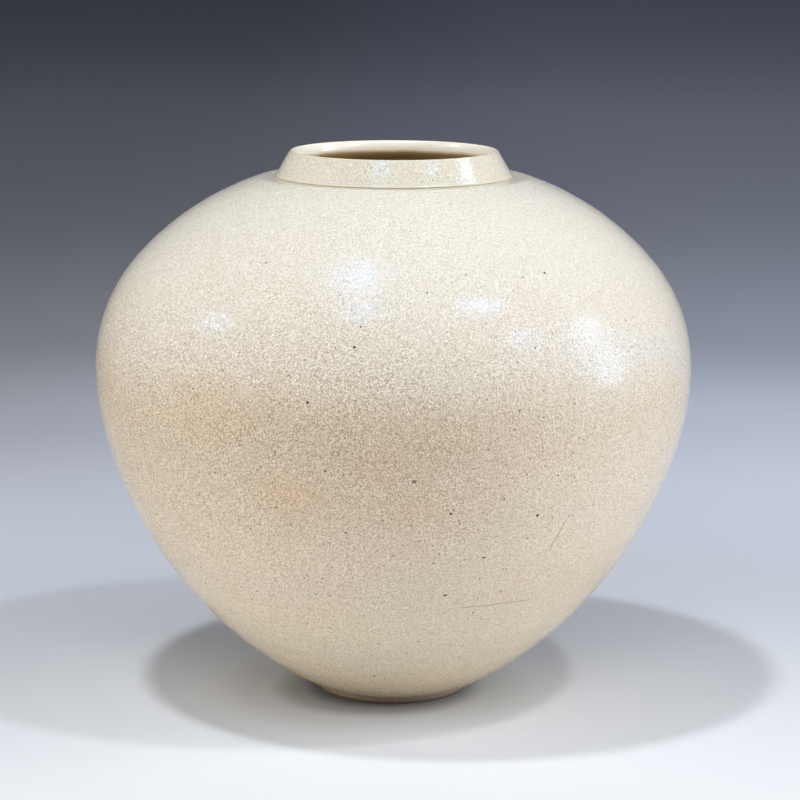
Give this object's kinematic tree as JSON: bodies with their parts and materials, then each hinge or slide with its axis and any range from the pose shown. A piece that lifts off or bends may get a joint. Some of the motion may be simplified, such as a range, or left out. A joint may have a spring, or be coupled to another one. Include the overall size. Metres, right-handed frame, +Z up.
{
  "type": "korean moon jar",
  "caption": "Full-bellied glazed stoneware jar with a broad shoulder, a short inward-leaning collar and a small recessed foot ring, for display or storage.",
  "frame": {"origin": "middle of the foot, on the surface that the jar stands on", "axes": "+Z up along the jar's axis of turning; +X to the right and -Y towards the viewer in the reference view"},
  "size_m": [0.272, 0.272, 0.25],
  "materials": {
    "bare_clay": "bare buff stoneware, matt and slightly gritty",
    "luting_slip": "fired slip, matt",
    "satin_glaze": "satin cream glaze with fine iron specks",
    "liner_glaze": "glossy cream liner"
  },
  "bodies": {
    "root": {"foot_ring": "bare_clay", "foot_slip": "luting_slip", "lower_bowl": "bare_clay", "belly_slip": "luting_slip", "upper_bowl": "bare_clay", "neck_slip": "luting_slip", "neck_collar": "bare_clay", "outer_glaze": "satin_glaze", "inner_glaze": "liner_glaze"}
  },
  "joints": []
}
